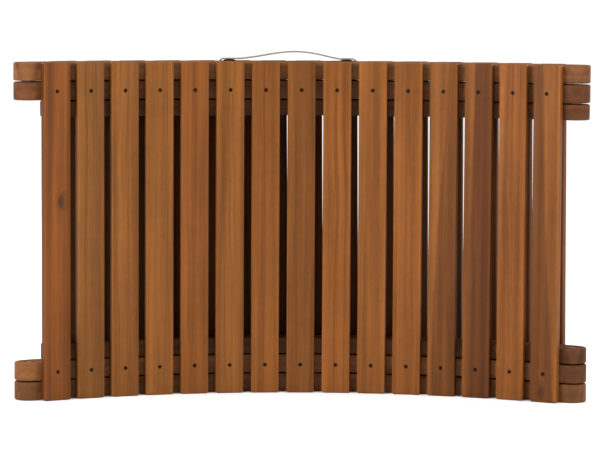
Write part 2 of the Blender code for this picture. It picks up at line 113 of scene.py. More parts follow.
def place(angle, distance, height):
    """A world matrix with X along the bend, Y away from the bend axis and Z up."""
    point = flat_point(angle, distance) + Vector((0, BEND_AXIS_Y, height))
    return Matrix.Translation(point) @ Matrix.Rotation(-angle, 4, "Z")


def inward(angle, distance, depth, side):
    """A world matrix whose Z runs into the object from its lower or upper long edge."""
    if side == "lower":
        return place(angle, distance, depth)
    return place(angle, distance, SLAT_LENGTH - depth) @ Matrix.Rotation(math.pi, 4, "X")


def polar(node):
    """A CAD node's middle as an angle about the bend axis, a distance and a height."""
    low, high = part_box(node)
    middle = (Vector(low) + Vector(high)) / 2
    out = middle.y - BEND_AXIS_Y
    return math.atan2(middle.x, out), math.hypot(middle.x, out), middle.z


def depth_of(node, side):
    """How far a node starts and ends from its own long edge of the object."""
    low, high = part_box(node)
    if side == "lower":
        return low[2], high[2]
    return SLAT_LENGTH - high[2], SLAT_LENGTH - low[2]


# --------------------------------------------------------------- node tools

def link(tree, socket, value):
    if isinstance(value, bpy.types.NodeSocket):
        tree.links.new(value, socket)
    else:
        socket.default_value = value


def maths(tree, operation, *values, clamp=False):
    made = tree.nodes.new("ShaderNodeMath")
    made.operation = operation
    made.use_clamp = clamp
    for socket, value in zip(made.inputs, values):
        link(tree, socket, value)
    return made.outputs[0]


def vector_maths(tree, operation, *values):
    made = tree.nodes.new("ShaderNodeVectorMath")
    made.operation = operation
    for socket, value in zip(made.inputs, values):
        link(tree, socket, value)
    return made.outputs["Value" if operation == "LENGTH" else "Vector"]


def attribute(tree, name, output="Vector"):
    made = tree.nodes.new("ShaderNodeAttribute")
    made.attribute_name = name
    return made.outputs[output]


def split(tree, vector):
    made = tree.nodes.new("ShaderNodeSeparateXYZ")
    link(tree, made.inputs[0], vector)
    return made.outputs


def combine(tree, x, y, z):
    made = tree.nodes.new("ShaderNodeCombineXYZ")
    for socket, value in zip(made.inputs, (x, y, z)):
        link(tree, socket, value)
    return made.outputs[0]


def noise(tree, vector, per_metre, detail=3.0, roughness=0.55):
    """Noise with its own number of features per metre along each axis."""
    made = tree.nodes.new("ShaderNodeTexNoise")
    link(tree, made.inputs["Vector"], vector_maths(tree, "MULTIPLY", vector, per_metre))
    made.inputs["Scale"].default_value = 1.0
    made.inputs["Detail"].default_value = detail
    made.inputs["Roughness"].default_value = roughness
    return made.outputs["Fac"]


def spread(tree, value, low, high, to_low=0.0, to_high=1.0, smooth=False):
    """Stretch a value from one range to another, held at the ends."""
    made = tree.nodes.new("ShaderNodeMapRange")
    if smooth:
        made.interpolation_type = "SMOOTHSTEP"
    for socket, number in zip(made.inputs, (value, low, high, to_low, to_high)):
        link(tree, socket, number)
    return made.outputs[0]


def mix(tree, factor, a, b, blend="MIX"):
    made = tree.nodes.new("ShaderNodeMix")
    made.data_type = "RGBA"
    made.blend_type = blend
    link(tree, made.inputs[0], factor)
    link(tree, made.inputs[6], a)
    link(tree, made.inputs[7], b)
    return made.outputs[2]


def bump(tree, height, distance, strength=1.0, normal=None):
    made = tree.nodes.new("ShaderNodeBump")
    made.inputs["Distance"].default_value = distance
    made.inputs["Strength"].default_value = strength
    link(tree, made.inputs["Height"], height)
    if normal:
        link(tree, made.inputs["Normal"], normal)
    return made.outputs[0]


def new_material(name):
    material = bpy.data.materials.new(name)
    material.use_nodes = True
    tree = material.node_tree
    return material, tree, tree.nodes["Principled BSDF"]


def rgb(red, green, blue):
    return (red, green, blue, 1.0)


# ---------------------------------------------------------------- materials

def wobble(tree, value, wave, amount):
    """Shift a value by up to half the amount either way, as a noise says."""
    shift = maths(tree, "MULTIPLY", maths(tree, "SUBTRACT", wave, 0.5), amount)
    return maths(tree, "ADD", value, shift)


def wood_colour(tree, waves, rings, yellow, red, heart):
    """The warm colour of a board, with dark heartwood in bands and down one side."""
    redness, heartwood = split(tree, attribute(tree, "tone"))[1:3]
    into_heart, heart_strength = split(tree, attribute(tree, "heart"))[:2]
    colour = mix(tree, redness, yellow, red)
    broad = noise(tree, rings, (62, 1, 0.9), 2.0, 0.5)
    bands = maths(tree, "MULTIPLY", spread(tree, broad, 0.46, 0.62, smooth=True), heartwood)
    colour = mix(tree, bands, colour, heart)
    sway, wander = waves
    border = wobble(tree, wobble(tree, into_heart, sway, 0.024), wander, 0.006)
    side = spread(tree, border, -0.0015, 0.0045, smooth=True)
    return mix(tree, maths(tree, "MULTIPLY", side, heart_strength), colour, heart)


def knot_darkening(tree, colour, distance):
    """Dark rings close round a knot."""
    ringed = noise(tree, combine(tree, distance, 0.0, 0.0), (900, 1, 1), 1.0)
    dark = spread(tree, distance, 0.0025, 0.0075, 0.85, 0.0, smooth=True)
    dark = maths(tree, "MULTIPLY", dark, spread(tree, ringed, 0.3, 0.7, 0.7, 1.0))
    return mix(tree, dark, colour, rgb(0.045, 0.018, 0.009))


def wood_material(name, yellow, red, heart):
    """Oiled acacia. Its pieces carry these attributes:
    grain, the place in the board in metres from the pith, Z along the fibres;
    tone, its shade, redness and how much dark heartwood shows;
    heart, how far a place lies inside a darker side in metres, and how dark that is;
    knot, the place from the board's knot; rim, 1 on eased edges."""
    material, tree, shader = new_material(name)
    grain = attribute(tree, "grain")
    knot = vector_maths(tree, "MULTIPLY", attribute(tree, "knot"), (1.0, 0.6, 0.5))
    knot_distance = vector_maths(tree, "LENGTH", knot)
    knot_pull = spread(tree, knot_distance, 0.0, 0.016, 1.0, 0.0, smooth=True)
    sway = noise(tree, grain, (6, 6, 2.2), 2.0)
    wander = noise(tree, grain, (25, 25, 9), 2.0)
    x, y, z = split(tree, grain)
    across = wobble(tree, wobble(tree, x, sway, 0.030), wander, 0.005)
    from_pith = vector_maths(tree, "LENGTH", combine(tree, across, y, 0.0))
    ring_place = maths(tree, "ADD", from_pith, maths(tree, "MULTIPLY", knot_pull, 0.010))
    ring_vector = combine(tree, ring_place, 0.0, z)

    rings = noise(tree, ring_vector, (330, 1, 1.6), 3.0, 0.6)
    figure = noise(tree, ring_vector, (140, 1, 1.2), 2.0, 0.5)
    streak = noise(tree, grain, (85, 85, 1.5), 2.0, 0.55)
    fibre = noise(tree, grain, (1100, 1100, 16), 3.0, 0.6)
    pores = noise(tree, grain, (2600, 2600, 90), 1.0, 0.5)
    ripple = noise(tree, grain, (26, 26, 60), 2.0, 0.5)
    cloud = noise(tree, grain, (18, 18, 5), 2.0, 0.5)
    open_pores = spread(tree, pores, 0.30, 0.38, 0.72, 1.0)
    shades = (
        spread(tree, rings, 0.3, 0.72, 1.12, 0.82),
        spread(tree, figure, 0.52, 0.70, 1.05, 0.76),
        spread(tree, streak, 0.32, 0.68, 0.80, 1.20),
        spread(tree, fibre, 0.3, 0.7, 0.92, 1.07),
        spread(tree, ripple, 0.3, 0.7, 0.965, 1.035),
        spread(tree, cloud, 0.3, 0.7, 0.90, 1.09),
        open_pores,
        spread(tree, attribute(tree, "rim", "Fac"), 0.0, 1.0, 1.0, 1.18),
    )
    total = split(tree, attribute(tree, "tone"))[0]
    for part in shades:
        total = maths(tree, "MULTIPLY", total, part)
    colour = wood_colour(tree, (sway, wander), ring_vector, yellow, red, heart)
    colour = mix(tree, 1.0, colour, combine(tree, total, total, total), "MULTIPLY")
    link(tree, shader.inputs["Base Color"], knot_darkening(tree, colour, knot_distance))

    fibre_gloss = spread(tree, fibre, 0.3, 0.7, 0.52, 0.42)
    ring_gloss = spread(tree, rings, 0.3, 0.7, 0.0, 0.08)
    link(tree, shader.inputs["Roughness"], maths(tree, "ADD", fibre_gloss, ring_gloss))
    shader.inputs["Specular IOR Level"].default_value = 0.12
    relief = maths(tree, "ADD", maths(tree, "MULTIPLY", fibre, 0.5), maths(tree, "MULTIPLY", rings, 0.35))
    relief = maths(tree, "ADD", relief, maths(tree, "MULTIPLY", open_pores, 0.5))
    link(tree, shader.inputs["Normal"], bump(tree, relief, 0.00022, 0.6))
    return material


def steel_material(name, colour, rust, roughness):
    """Zinc-plated steel, dulled and a little stained."""
    material, tree, shader = new_material(name)
    where = tree.nodes.new("ShaderNodeTexCoord").outputs["Object"]
    stain = noise(tree, where, (420, 420, 420), 3.0, 0.6)
    scratches = noise(tree, where, (300, 300, 3000), 2.0, 0.5)
    spots = spread(tree, stain, 0.50, 0.68)
    link(tree, shader.inputs["Base Color"], mix(tree, spots, colour, rust))
    link(tree, shader.inputs["Roughness"], spread(tree, stain, 0.3, 0.7, roughness, roughness + 0.25))
    shader.inputs["Metallic"].default_value = 0.9
    link(tree, shader.inputs["Normal"], bump(tree, scratches, 0.00003, 0.5))
    return material


RIB_LENGTH = 0.0016
WARP_WIDTH = 0.0013


def webbing_material():
    """Flat woven webbing. weave is the place in metres: along, across, and off its face."""
    material, tree, shader = new_material("strap_webbing_woven")
    weave = attribute(tree, "weave")
    along, across, _ = split(tree, weave)
    turn = 2 * math.pi
    rib = maths(tree, "SINE", maths(tree, "MULTIPLY", along, turn / RIB_LENGTH))
    warp = maths(tree, "SINE", maths(tree, "MULTIPLY", across, turn / WARP_WIDTH))
    over = maths(tree, "MULTIPLY", rib, warp)
    thread = maths(tree, "ABSOLUTE", warp)
    fuzz = noise(tree, weave, (2600, 2600, 2600), 3.0, 0.6)
    dye = noise(tree, weave, (45, 120, 45), 2.0, 0.5)
    soil = noise(tree, weave, (18, 60, 18), 2.0, 0.5)
    height = maths(tree, "ADD", maths(tree, "MULTIPLY", over, 0.32), maths(tree, "MULTIPLY", thread, 0.45))
    height = maths(tree, "ADD", height, maths(tree, "MULTIPLY", fuzz, 0.35))
    light = rgb(0.33, 0.275, 0.185)
    deep = rgb(0.165, 0.125, 0.075)
    colour = mix(tree, spread(tree, height, -0.1, 0.85), deep, light)
    colour = mix(tree, spread(tree, dye, 0.35, 0.7, 0.0, 0.35), colour, rgb(0.24, 0.19, 0.12))
    selvedge = spread(tree, maths(tree, "ABSOLUTE", across), 0.0098, 0.0108, 0.0, 0.45)
    colour = mix(tree, selvedge, colour, rgb(0.21, 0.165, 0.10))
    colour = mix(tree, spread(tree, soil, 0.5, 0.75, 0.0, 0.25), colour, rgb(0.13, 0.095, 0.06))
    link(tree, shader.inputs["Base Color"], colour)
    link(tree, shader.inputs["Roughness"], spread(tree, fuzz, 0.3, 0.7, 0.78, 0.95))
    shader.inputs["Sheen Weight"].default_value = 0.15
    shader.inputs["Sheen Roughness"].default_value = 0.5
    shader.inputs["Specular IOR Level"].default_value = 0.2
    link(tree, shader.inputs["Normal"], bump(tree, height, 0.00025, 0.9))
    return material


def plastic_material():
    """Dark brown moulded plastic with a fine spark texture."""
    material, tree, shader = new_material("brown_plastic_moulded")
    where = tree.nodes.new("ShaderNodeTexCoord").outputs["Object"]
    speckle = noise(tree, where, (3500, 3500, 3500), 2.0, 0.5)
    cloud = noise(tree, where, (150, 150, 150), 2.0, 0.5)
    colour = mix(tree, spread(tree, cloud, 0.35, 0.65), rgb(0.035, 0.017, 0.010), rgb(0.060, 0.030, 0.018))
    link(tree, shader.inputs["Base Color"], colour)
    link(tree, shader.inputs["Roughness"], spread(tree, speckle, 0.3, 0.7, 0.38, 0.55))
    link(tree, shader.inputs["Normal"], bump(tree, speckle, 0.00005, 0.6))
    return material


SLAT_WOOD = wood_material(
    "slat_wood_oiled", rgb(0.190, 0.071, 0.0150), rgb(0.172, 0.046, 0.0070), rgb(0.058, 0.016, 0.0040)
)
RAIL_WOOD = wood_material(
    "rail_wood_oiled", rgb(0.180, 0.073, 0.0240), rgb(0.140, 0.043, 0.0120), rgb(0.050, 0.017, 0.006)
)
STEEL = steel_material("zinc_steel_dulled", rgb(0.50, 0.48, 0.44), rgb(0.22, 0.13, 0.07), 0.35)
SCREW_STEEL = steel_material("screw_steel_browned", rgb(0.030, 0.020, 0.014), rgb(0.015, 0.008, 0.004), 0.5)
WEBBING = webbing_material()
PLASTIC = plastic_material()


# --------------------------------------------------------------- mesh tools

def mesh_from(work, smooth_angle=SMOOTH_ANGLE):
    """Finish a bmesh as a mesh whose faces look round up to an angle in degrees."""
    mesh = bpy.data.meshes.new("piece")
    bmesh.ops.recalc_face_normals(work, faces=work.faces)
    work.to_mesh(mesh)
    work.free()
    mesh.shade_smooth()
    mesh.set_sharp_from_angle(angle=math.radians(smooth_angle))
    return mesh


def plate(outline, thickness, ease, segments=3):
    """A plate centred on the XY plane with its two rims eased round."""
    work = bmesh.new()
    corners = [work.verts.new((point[0], point[1], -thickness / 2)) for point in outline]
    base = work.faces.new(corners)
    grown = bmesh.ops.extrude_face_region(work, geom=[base])
    top = [item for item in grown["geom"] if isinstance(item, bmesh.types.BMVert)]
    bmesh.ops.translate(work, verts=top, vec=(0, 0, thickness))
    rims = []
    for edge in work.edges:
        if abs(edge.verts[0].co.z - edge.verts[1].co.z) < MERGE_DISTANCE:
            rims.append(edge)
    if ease:
        bmesh.ops.bevel(work, geom=rims, offset=ease, segments=segments, profile=0.5, affect="EDGES")
    return mesh_from(work)


def turned(profile, sides, smooth_angle=SMOOTH_ANGLE):
    """Turn a closed outline of (radius, depth) points about Z, or one that ends on the axis."""
    work = bmesh.new()
    points = [work.verts.new((radius, 0, depth)) for radius, depth in profile]
    edges = [work.edges.new(pair) for pair in zip(points, points[1:])]
    if min(radius for radius, _ in profile) > 0:
        edges.append(work.edges.new((points[-1], points[0])))
    bmesh.ops.spin(
        work, geom=points + edges, cent=(0, 0, 0), axis=(0, 0, 1), angle=2 * math.pi, steps=sides
    )
    bmesh.ops.remove_doubles(work, verts=work.verts, dist=MERGE_DISTANCE)
    return mesh_from(work, smooth_angle)


def circle(radius, sides):
    turns = [2 * math.pi * i / sides for i in range(sides)]
    return [(radius * math.cos(turn), radius * math.sin(turn)) for turn in turns]


def rounded_rectangle(width, height, radius, steps=5):
    outline = []
    for quarter, (x, y) in enumerate(((1, 1), (-1, 1), (-1, -1), (1, -1))):
        centre = Vector((x * (width / 2 - radius), y * (height / 2 - radius)))
        for i in range(steps + 1):
            turn = math.pi / 2 * (quarter + i / steps)
            outline.append(centre + Vector((math.cos(turn), math.sin(turn))) * radius)
    return outline


def joined(parts):
    """One mesh from (mesh, matrix) pairs."""
    work = bmesh.new()
    for mesh, matrix in parts:
        copy = mesh.copy()
        copy.transform(matrix)
        work.from_mesh(copy)
        bpy.data.meshes.remove(copy)
    mesh = bpy.data.meshes.new("joined")
    work.to_mesh(mesh)
    work.free()
    return mesh


def carved(mesh, cuts):
    """A mesh with (mesh, matrix) shapes cut out of it."""
    body = bpy.data.objects.new("body", mesh)
    tool = bpy.data.objects.new("tool", joined(cuts))
    for item in (body, tool):
        bpy.context.scene.collection.objects.link(item)
    holes = body.modifiers.new("holes", "BOOLEAN")
    holes.operation = "DIFFERENCE"
    holes.solver = "EXACT"
    holes.object = tool
    graph = bpy.context.evaluated_depsgraph_get()
    result = bpy.data.meshes.new_from_object(body.evaluated_get(graph))
    for item in (body, tool):
        bpy.data.objects.remove(item, do_unlink=True)
    result.shade_smooth()
    result.set_sharp_from_angle(angle=math.radians(SMOOTH_ANGLE))
    return result


def add_piece(name, mesh, material, matrix, body, slot, *nodes):
    """Put a mesh in the scene as one piece that stands for CAD nodes."""
    mesh.materials.clear()
    mesh.materials.append(material)
    piece = bpy.data.objects.new(name, mesh)
    bpy.context.scene.collection.objects.link(piece)
    piece.matrix_world = matrix
    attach(piece, body)
    if nodes:
        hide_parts(*nodes)
    return piece


def write_vectors(mesh, name, function):
    """Store a vector for each point, worked out from its place."""
    layer = mesh.attributes.new(name, "FLOAT_VECTOR", "POINT")
    values = []
    for vertex in mesh.vertices:
        values.extend(function(vertex.co))
    layer.data.foreach_set("vector", values)


def write_numbers(mesh, name, function):
    layer = mesh.attributes.new(name, "FLOAT", "POINT")
    layer.data.foreach_set("value", [function(vertex.co) for vertex in mesh.vertices])


FAR_KNOT = Vector((1, 1, 1))


def dress_wood(mesh, pith, tone, along=None, knot=None, on_rim=None, heart=None):
    """Give a board its grain: where its pith lies, its tone, and how to read its length.
    heart is the place across the board where a darker side starts, which side it
    is on (1 or -1), how dark it is, and its border's slope."""
    turn = along or Matrix.Identity(3)
    centre = Vector(knot) if knot else None
    write_vectors(mesh, "grain", lambda co: turn @ co + Vector(pith))
    write_vectors(mesh, "tone", lambda co: tone)
    write_vectors(mesh, "knot", lambda co: co - centre if centre else FAR_KNOT)
    write_numbers(mesh, "rim", on_rim or (lambda co: 0.0))
    border, side, strength, slope = heart or (0.0, 1, 0.0, 0.0)
    write_vectors(mesh, "heart", lambda co: (side * (co.x - border - slope * co.z), strength, 0.0))


# -------------------------------------------------------------------- slats

def screw_cut():
    """The recess and bore of a slat screw, Z into the wood from the slat's face."""
    seat = SCREW_HEAD_RADIUS + HOLE_CLEARANCE
    bore = SLAT_SCREW_RADIUS + HOLE_CLEARANCE
    floor = SCREW_RECESS + SCREW_HEAD_HEIGHT + HOLE_CLEARANCE
    through = SLAT_SIZE.y + CUT_OVERRUN
    lip = 0.0003
    profile = [(0, -CUT_OVERRUN), (seat + lip + CUT_OVERRUN, -CUT_OVERRUN), (seat, lip), (seat, floor)]
    profile += [(bore, floor), (bore, through), (0, through)]
    return turned(profile, 20)


def slat_mesh(screw_height, outwards):
    """A slat about its own middle: X across, Y away from the bend axis, Z up."""
    outline = rounded_rectangle(SLAT_SIZE.x, SLAT_SIZE.z, SLAT_CORNER)
    mesh = plate(outline, SLAT_SIZE.y, SLAT_EASE)
    mesh.transform(Matrix.Rotation(math.pi / 2, 4, "X"))
    turn = Matrix.Rotation(-math.pi / 2 if outwards else math.pi / 2, 4, "X")
    face = -SLAT_SIZE.y / 2 if outwards else SLAT_SIZE.y / 2
    cuts = []
    for sign in (-1, 1):
        height = sign * (SLAT_LENGTH / 2 - screw_height)
        cuts.append((screw_cut(), Matrix.Translation((0, face, height)) @ turn))
    return carved(mesh, cuts)


def slat_rim(co):
    """1 on the eased edges of a slat, between its flat faces."""
    near_side = SLAT_SIZE.x / 2 - abs(co.x) < 0.8 * SLAT_EASE
    near_face = SLAT_SIZE.y / 2 - abs(co.y) < 0.8 * SLAT_EASE
    inside = SLAT_SIZE.y / 2 - abs(co.y) > MERGE_DISTANCE
    return 1.0 if near_side and near_face and inside else 0.0


# How far the screws sit from a slat's ends
BACK_SCREW_HEIGHT = 0.047
FOOT_SCREW_HEIGHT = 0.015
# Each back slat's shade, redness, heartwood and pith offset across the slat
BACK_LOOKS = (
    (0.99, 0.70, 0.30, 0.010), (0.92, 0.05, 0.10, 0.030), (0.98, 0.20, 0.10, -0.025),
    (1.01, 0.25, 0.12, 0.020), (1.05, 0.50, 0.20, -0.012), (1.03, 0.25, 0.05, 0.035),
    (1.00, 0.45, 0.12, -0.030), (0.84, 0.35, 0.25, 0.004), (1.11, 0.50, 0.20, 0.028),
    (1.05, 0.35, 0.25, -0.006), (1.13, 0.45, 0.12, 0.022), (1.12, 0.30, 0.20, -0.020),
    (1.12, 0.45, 0.35, 0.008), (1.25, 0.50, 0.15, 0.030), (1.10, 0.40, 0.25, -0.010),
)
BACK_KNOTS = {1: (0.006, -0.0075, 0.050), 15: (-0.004, -0.0075, -0.262)}
# Where a darker side starts across a slat, on which side, how dark it is, and
# how far the border moves across for each metre up the slat
BACK_HEARTS = {
    1: (-0.008, -1, 0.25, 0.02), 3: (0.004, 1, 0.12, 0.03), 6: (-0.012, -1, 0.12, 0.02),
    8: (0.002, 1, 0.15, -0.02), 12: (-0.006, 1, 0.50, 0.045), 13: (-0.009, 1, 0.68, 0.01),
    15: (0.006, -1, 0.50, -0.045),
}
# Each foot slat's shade, redness, heartwood and pith offset lie between these
FOOT_LOOK_BOUNDS = ((0.55, 0.75), (0.1, 0.8), (0.05, 0.5), (-0.03, 0.03))
foot_dice = random.Random(3)
FOOT_LOOKS = [tuple(foot_dice.uniform(*bounds) for bounds in FOOT_LOOK_BOUNDS) for _ in BACK_LOOKS]


def slat_place(panel, number):
    """Where a slat's middle sits, with the foot slats' slight lean."""
    matrix = place(*polar(f"{panel}_slat_{number:02d}"))
    if panel == "back":
        return matrix
    hinge = Matrix.Translation((FOOT_SLAT_SHIFTS.get(number, 0), 0, LEAN_HEIGHT))
    lower = Matrix.Translation((0, 0, -LEAN_HEIGHT))
    return matrix @ hinge @ Matrix.Rotation(-FOOT_SLAT_LEAN, 4, "Y") @ lower


def build_slats(panel, screw_height, outwards, looks, knots, hearts):
    master = slat_mesh(screw_height, outwards)
    dice = random.Random(11 if outwards else 23)
    for number, (shade, redness, heartwood, pith) in enumerate(looks, start=1):
        node = f"{panel}_slat_{number:02d}"
        mesh = master.copy()
        depth = dice.choice((-1, 1)) * dice.uniform(0.012, 0.045)
        seed = dice.uniform(-40, 40)
        start = (pith, depth, seed)
        tone = (shade, redness, heartwood)
        dress_wood(mesh, start, tone, None, knots.get(number), slat_rim, hearts.get(number))
        matrix = slat_place(panel, number)
        add_piece(f"{node}_board", mesh, SLAT_WOOD, matrix, f"{panel}_panel", "slat_wood", node)


def crossed(body, length, width, depth, angle=0):
    """Cut a driver's cross into a screw head whose top is at Z 0."""
    arm = plate(rounded_rectangle(length, width, 0.0002, 2), 2 * depth, 0)
    for turn in (angle, angle + math.pi / 2):
        body = carved(body, [(arm, Matrix.Rotation(turn, 4, "Z"))])
    return body


def screw_mesh():
    """A flat-headed wood screw with a cross recess, Z from its head into the wood."""
    head = SCREW_HEAD_RADIUS
    neck = SCREW_HEAD_HEIGHT
    radius = SLAT_SCREW_RADIUS
    core = 0.72 * radius
    end = SLAT_SCREW_LENGTH
    profile = [(0, end), (core * 0.5, end - 0.001)]
    for i in range(int((end - neck - 0.008) / SCREW_PITCH)):
        low = end - 0.002 - i * SCREW_PITCH
        profile += [(core, low), (radius, low - SCREW_PITCH / 2)]
    profile += [(core, neck + 0.006), (radius * 0.9, neck + 0.0055), (radius * 0.9, neck)]
    profile += [(head, 0.0006), (head, 0.0003), (head - 0.0003, 0), (0, 0)]
    return crossed(turned(profile, 20), 0.0042, 0.0009, 0.0012)


def build_slat_screws(panel, screw_height, outwards):
    """All of one panel's slat screws; the solids have only their holes."""
    screw = screw_mesh()
    face = -SLAT_SIZE.y / 2 + SCREW_RECESS
    turn = Matrix.Rotation(-math.pi / 2 if outwards else math.pi / 2, 4, "X")
    dice = random.Random(5)
    parts = []
    for number in range(1, len(BACK_LOOKS) + 1):
        middle = slat_place(panel, number)
        for sign in (-1, 1):
            height = sign * (SLAT_LENGTH / 2 - screw_height)
            start = Matrix.Translation((0, face if outwards else -face, height))
            spin = Matrix.Rotation(dice.uniform(0, math.pi), 4, "Z")
            parts.append((screw, middle @ start @ turn @ spin))
    mesh = joined(parts)
    add_piece(f"{panel}_slat_screws", mesh, SCREW_STEEL, Matrix.Identity(4), f"{panel}_panel", "zinc_steel")


# -------------------------------------------------------------------- rails

ARC_STEPS = 90
END_STEPS = 24


def rail_outline(start, end, depth):
    """An arc with round ends, about the bend axis."""
    angles = [start + (end - start) * i / ARC_STEPS for i in range(ARC_STEPS + 1)]
    outline = [flat_point(angle, BEND_RADIUS + depth / 2) for angle in angles]
    outline += rail_end(end, depth, 0)
    outline += [flat_point(angle, BEND_RADIUS - depth / 2) for angle in reversed(angles)]
    outline += rail_end(start, depth, math.pi)
    return outline


def rail_end(angle, depth, turn):
    centre = flat_point(angle, BEND_RADIUS)
    headings = [angle + turn + math.pi * i / END_STEPS for i in range(1, END_STEPS)]
    return [centre + flat_point(heading, depth / 2) for heading in headings]


def pivot_cut(width, wide_radius, wide_depth):
    """A bolt's bore through a rail, with a recess at its start."""
    bore = BOLT_RADIUS + HOLE_CLEARANCE
    wide = wide_radius + 2 * HOLE_CLEARANCE
    end = width + CUT_OVERRUN
    profile = [(0, end), (bore, end), (bore, wide_depth), (wide, wide_depth)]
    profile += [(wide, 0.0005), (wide + 0.0005 + CUT_OVERRUN, -CUT_OVERRUN), (0, -CUT_OVERRUN)]
    return turned(profile, 40)


HEAD_RECESS = PIVOT_RECESS + BOLT_HEAD_HEIGHT + HOLE_CLEARANCE
NUT_RECESS = PIVOT_RECESS + NUT_HEIGHT + HOLE_CLEARANCE
TURN_OVER = Matrix.Rotation(math.pi, 4, "X")
LENGTHWISE = Matrix(((0, 1, 0), (0, 0, 1), (1, 0, 0)))
LENGTHWISE_FLAT = Matrix(((0, 0, 1), (0, 1, 0), (1, 0, 0)))


def build_rail(node, side, body, start_angle, depth, cuts, grain_turn, pith, look):
    """One curved rail: sawn from a straight board, so its grain runs along X."""
    start, end = depth_of(node, side)
    width = end - start
    mesh = plate(rail_outline(start_angle, PIVOT_ANGLE, depth), width, RAIL_EASE)
    _, _, height = polar(node)
    matrix = Matrix.Translation((0, BEND_AXIS_Y, height))
    to_rail = matrix.inverted()
    shapes = []
    for angle, radius, recess, from_inside in cuts:
        spot = inward(angle, BEND_RADIUS, end if from_inside else start, side)
        if from_inside:
            spot = spot @ TURN_OVER
        shapes.append((pivot_cut(width, radius, recess), to_rail @ spot))
    if shapes:
        mesh = carved(mesh, shapes)
    middle = Vector((0, BEND_RADIUS, 0))
    centred = grain_turn @ -middle
    dress_wood(mesh, Vector(pith) + centred, RAIL_LOOKS[look], grain_turn, heart=RAIL_HEARTS.get(look))
    add_piece(f"{node}_board", mesh, RAIL_WOOD, matrix, body, "rail_wood", node)


# Each rail's shade, redness and heartwood
RAIL_LOOKS = {
    "foot_lower": (0.90, 0.40, 0.35),
    "foot_upper": (1.08, 0.25, 0.20),
    "back_lower": (1.12, 0.35, 0.30),
    "back_upper": (0.78, 0.65, 0.35),
    "leg_lower": (0.60, 0.65, 0.35),
    "leg_upper": (0.60, 0.75, 0.35),
}
# Rails with a darker end past the last slat, as dress_wood reads it
RAIL_END_START = 0.43
RAIL_HEARTS = {
    "foot_upper": (RAIL_END_START, 1, 0.20, 0.0),
    "back_upper": (RAIL_END_START, 1, 0.35, 0.0),
    "back_lower": (RAIL_END_START, 1, 0.75, 0.0),
}


def build_rails():
    head = (BOLT_HEAD_RADIUS, HEAD_RECESS, False)
    nut = (NUT_RADIUS, NUT_RECESS, True)
    fold = -PIVOT_ANGLE
    leg_start = fold + LEG_SHORTFALL / BEND_RADIUS
    dice = random.Random(71)
    for side in SIDES:
        seeds = [dice.uniform(-30, 30) for _ in range(3)]
        build_rail(
            f"foot_rail_{side}", side, "foot_panel", fold, PANEL_RAIL_DEPTH,
            [(fold, *head)], LENGTHWISE, (0.05, 0.008, seeds[0]), f"foot_{side}",
        )
        build_rail(
            f"back_rail_{side}", side, "back_panel", fold, PANEL_RAIL_DEPTH,
            [(fold, *nut), (PIVOT_ANGLE, *head)], LENGTHWISE_FLAT, (0.04, 0.01, seeds[1]),
            f"back_{side}",
        )
        build_rail(
            f"leg_rail_{side}", side, "back_panel", leg_start, LEG_RAIL_DEPTH,
            [(PIVOT_ANGLE, *nut)], LENGTHWISE, (0.03, 0.012, seeds[2]), f"leg_{side}",
        )


def build_crossbar():
    angle, distance, height = polar("leg_crossbar")
    low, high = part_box("leg_crossbar")
    length = high[2] - low[2]
    outline = rounded_rectangle(CROSSBAR_WIDTH, CROSSBAR_THICKNESS, CROSSBAR_CORNER)
    mesh = plate(outline, length, CROSSBAR_EASE, 2)
    dress_wood(mesh, (0.02, 0.03, 7.0), (0.95, 0.5, 0.2))
    matrix = place(angle, distance, height)
    add_piece("leg_crossbar_board", mesh, RAIL_WOOD, matrix, "back_panel", "rail_wood", "leg_crossbar")


# ----------------------------------------------------------------- hardware

def bolt_mesh(length):
    """A socket button-head bolt, Z from its head's top to its tip."""
    head, height, radius = BOLT_HEAD_RADIUS, BOLT_HEAD_HEIGHT, BOLT_RADIUS
    profile = [(0, length), (radius - 0.0008, length)]
    for i in range(int(BOLT_THREAD / BOLT_PITCH)):
        low = length - 0.0004 - i * BOLT_PITCH
        profile += [(radius - 0.0006, low), (radius, low - BOLT_PITCH / 2)]
    profile += [(radius, height), (head, height)]
    for i in range(6):
        turn = math.pi / 2 * i / 5
        edge = head - 0.0045 * (1 - math.cos(turn))
        profile.append((edge, height * 0.75 - height * 0.75 * math.sin(turn)))
    profile.append((0, 0))
    body = turned(profile, 40)
    socket = plate(circle(0.0029, 6), 0.0056, 0)
    return carved(body, [(socket, Matrix.Identity(4))])


def nut_mesh():
    """A hexagon nut with chamfered corners, centred on its middle."""
    half = NUT_HEIGHT / 2
    blank = plate(circle(NUT_RADIUS, 6), NUT_HEIGHT, 0)
    bore = BOLT_RADIUS + HOLE_CLEARANCE
    reach = NUT_RADIUS + 0.002
    flat = NUT_RADIUS * math.cos(math.pi / 6)
    cuts = []
    for sign in (-1, 1):
        profile = [(flat, sign * half), (reach, sign * (half - 0.0016)), (reach, sign * (half + 0.001))]
        profile.append((flat, sign * (half + 0.001)))
        cuts.append((turned(profile, 48), Matrix.Identity(4)))
    hole = turned([(0, half + 0.001), (bore, half + 0.001), (bore, -half - 0.001), (0, -half - 0.001)], 32)
    for part in cuts + [(hole, Matrix.Identity(4))]:
        blank = carved(blank, [part])
    return blank


def washer_mesh(thickness):
    bore = BOLT_RADIUS + HOLE_CLEARANCE
    half, ease = thickness / 2, 0.0002
    profile = [(bore, -half), (WASHER_RADIUS - ease, -half), (WASHER_RADIUS, ease - half)]
    profile += [(WASHER_RADIUS, half - ease), (WASHER_RADIUS - ease, half), (bore, half)]
    return turned(profile, 48)


